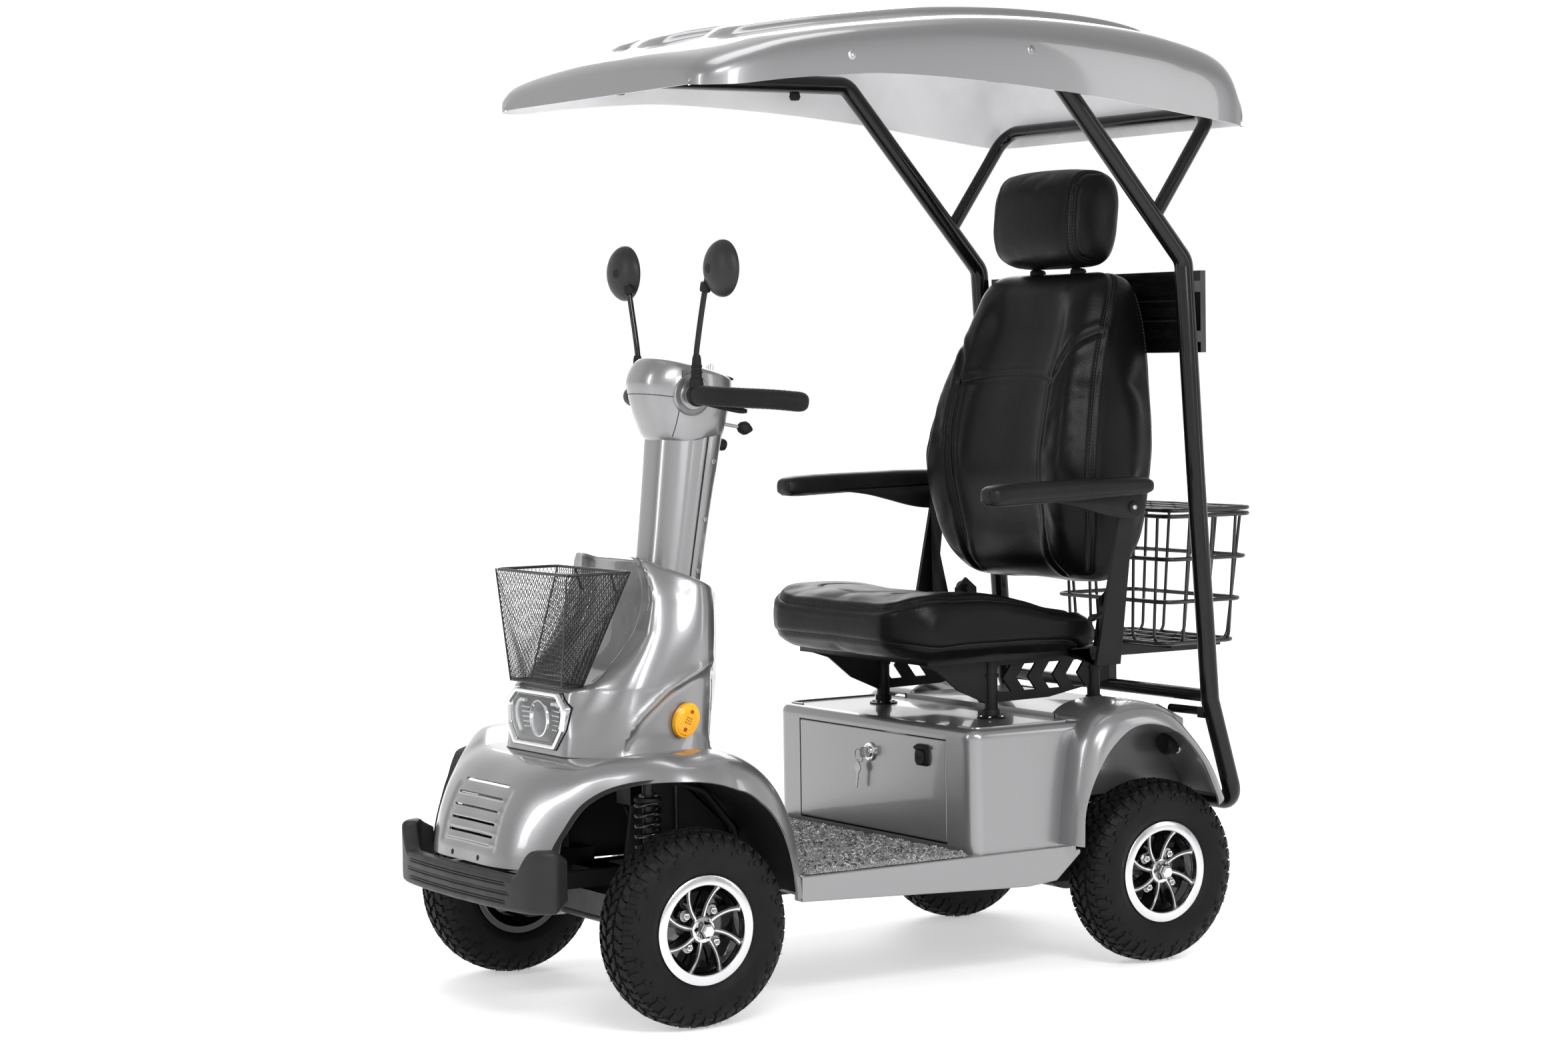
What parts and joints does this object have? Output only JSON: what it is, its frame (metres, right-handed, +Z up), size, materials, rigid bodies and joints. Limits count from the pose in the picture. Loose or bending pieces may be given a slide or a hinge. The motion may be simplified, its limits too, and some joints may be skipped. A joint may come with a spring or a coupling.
{
  "type": "mobility scooter",
  "caption": "Open mobility scooter with steerable front wheels, padded captain seat, baskets and a rigid canopy on a bent tube frame.",
  "frame": {"origin": "On the ground under the middle of the whole scooter, 40 mm behind the middle of the wheelbase, in the plane of symmetry.", "axes": "+X is forward, +Y is the rider's left, +Z is up."},
  "size_m": [1.614, 0.756, 1.706],
  "materials": {
    "silver_body": "metallic silver paint",
    "black_tube": "gloss black powder coat",
    "frame_black": "satin black",
    "axle_grey": "satin black",
    "mat_grey": "black and white looped mat",
    "black_plastic": "fine grained",
    "chrome": "bright",
    "clear_lens": "clear",
    "amber": "clear amber",
    "red_lens": "clear red",
    "mesh_black": "black coated wire",
    "battery": "black case",
    "roof_silver": "silver outside, white inside",
    "spring_black": "gloss black",
    "leather": "black, soft sheen",
    "pad_black": "soft black foam skin",
    "rim_alloy": "black with machined lip and spokes",
    "tyre": "black block tread",
    "steel": "plain zinc"
  },
  "bodies": {
    "chassis": {"battery_box": "silver_body", "battery_pack": "battery", "canopy_frame": "black_tube", "canopy_roof": "roof_silver", "chassis_frame": "frame_black", "floor_mat": "mat_grey", "floor_pan": "silver_body", "front_basket": "mesh_black", "front_bumper": "black_plastic", "front_cowl": "silver_body", "front_fender": "silver_body", "front_suspension": "axle_grey", "headlight": "chrome", "headlight_lens": "clear_lens", "rear_axle": "axle_grey", "rear_basket": "mesh_black", "rear_fenders": "silver_body", "seat_cushion": "leather", "seat_frame": "frame_black", "side_markers": "amber", "springs": "spring_black", "tail_lamps": "red_lens"},
    "tiller": {"steering_column": "silver_body", "tiller_head": "silver_body", "handlebar": "pad_black"},
    "left_mirror": {"mirror_left": "black_plastic"},
    "right_mirror": {"mirror_right": "black_plastic"},
    "left_knuckle": {"knuckle_left": "steel"},
    "right_knuckle": {"knuckle_right": "steel"},
    "steering_link": {"tie_rod": "steel"},
    "seatback": {"seat_back": "leather"},
    "head_restraint": {"headrest": "leather"},
    "left_armrest": {"armrest_left": "pad_black"},
    "right_armrest": {"armrest_right": "pad_black"},
    "basket_cover": {"rear_basket_lid": "mesh_black"},
    "battery_hatch": {"battery_door": "silver_body", "door_fittings": "chrome"},
    "wheel_front_left": {"tyre_front_left": "tyre", "rim_front_left": "rim_alloy"},
    "wheel_front_right": {"tyre_front_right": "tyre", "rim_front_right": "rim_alloy"},
    "wheel_rear_left": {"tyre_rear_left": "tyre", "rim_rear_left": "rim_alloy"},
    "wheel_rear_right": {"tyre_rear_right": "tyre", "rim_rear_right": "rim_alloy"}
  },
  "joints": [
    {"name": "steering", "type": "hinge", "parent": "chassis", "child": "tiller", "pos_m": [0.371, 0, 0.744], "axis": [-0.1478, 0, 0.989], "range_deg": [-30, 30]},
    {"name": "left_king_pin", "type": "hinge", "parent": "chassis", "child": "left_knuckle", "pos_m": [0.5287, 0.25, 0.165], "axis": [0, 0, 1], "range_deg": [-24, 24]},
    {"name": "right_king_pin", "type": "hinge", "parent": "chassis", "child": "right_knuckle", "pos_m": [0.5287, -0.25, 0.165], "axis": [0, 0, 1], "range_deg": [-24, 24]},
    {"name": "tie_rod_shift", "type": "slide", "parent": "chassis", "child": "steering_link", "axis": [0, 1, 0], "range_m": [-0.0252, 0.0252]},
    {"name": "spin_front_left", "type": "hinge", "parent": "left_knuckle", "child": "wheel_front_left", "pos_m": [0.5287, 0.32, 0.165], "axis": [0, 1, 0], "continuous": true},
    {"name": "spin_front_right", "type": "hinge", "parent": "right_knuckle", "child": "wheel_front_right", "pos_m": [0.5287, -0.32, 0.165], "axis": [0, 1, 0], "continuous": true},
    {"name": "spin_rear_left", "type": "hinge", "parent": "chassis", "child": "wheel_rear_left", "pos_m": [-0.4487, 0.3, 0.165], "axis": [0, 1, 0], "continuous": true},
    {"name": "spin_rear_right", "type": "hinge", "parent": "chassis", "child": "wheel_rear_right", "pos_m": [-0.4487, -0.3, 0.165], "axis": [0, 1, 0], "continuous": true},
    {"name": "left_mirror_turn", "type": "hinge", "parent": "tiller", "child": "left_mirror", "pos_m": [0.37, 0.098, 1.08], "axis": [0, 0, 1], "range_deg": [-40, 40]},
    {"name": "right_mirror_turn", "type": "hinge", "parent": "tiller", "child": "right_mirror", "pos_m": [0.37, -0.098, 1.08], "axis": [0, 0, 1], "range_deg": [-40, 40]},
    {"name": "backrest_fold", "type": "hinge", "parent": "chassis", "child": "seatback", "pos_m": [-0.422, 0, 0.648], "axis": [0, 1, 0], "range_deg": [0, 35]},
    {"name": "headrest_height", "type": "slide", "parent": "seatback", "child": "head_restraint", "axis": [-0.1045, 0, 0.9945], "range_m": [0, 0.05]},
    {"name": "left_armrest_lift", "type": "hinge", "parent": "chassis", "child": "left_armrest", "pos_m": [-0.408, 0.32, 0.822], "axis": [0, -1, 0], "range_deg": [0, 90]},
    {"name": "right_armrest_lift", "type": "hinge", "parent": "chassis", "child": "right_armrest", "pos_m": [-0.408, -0.32, 0.822], "axis": [0, -1, 0], "range_deg": [0, 90]},
    {"name": "basket_lid_hinge", "type": "hinge", "parent": "chassis", "child": "basket_cover", "pos_m": [-0.604, 0, 0.803], "axis": [0, 1, 0], "range_deg": [0, 95]},
    {"name": "battery_door_hinge", "type": "hinge", "parent": "chassis", "child": "battery_hatch", "pos_m": [-0.05, 0, 0.245], "axis": [0, 1, 0], "range_deg": [0, 78]}
  ],
  "couplings": [
    {"joint": "left_king_pin", "follows": "steering", "ratio": 0.8},
    {"joint": "right_king_pin", "follows": "steering", "ratio": 0.8},
    {"joint": "tie_rod_shift", "follows": "steering", "m_per_rad": -0.048}
  ]
}
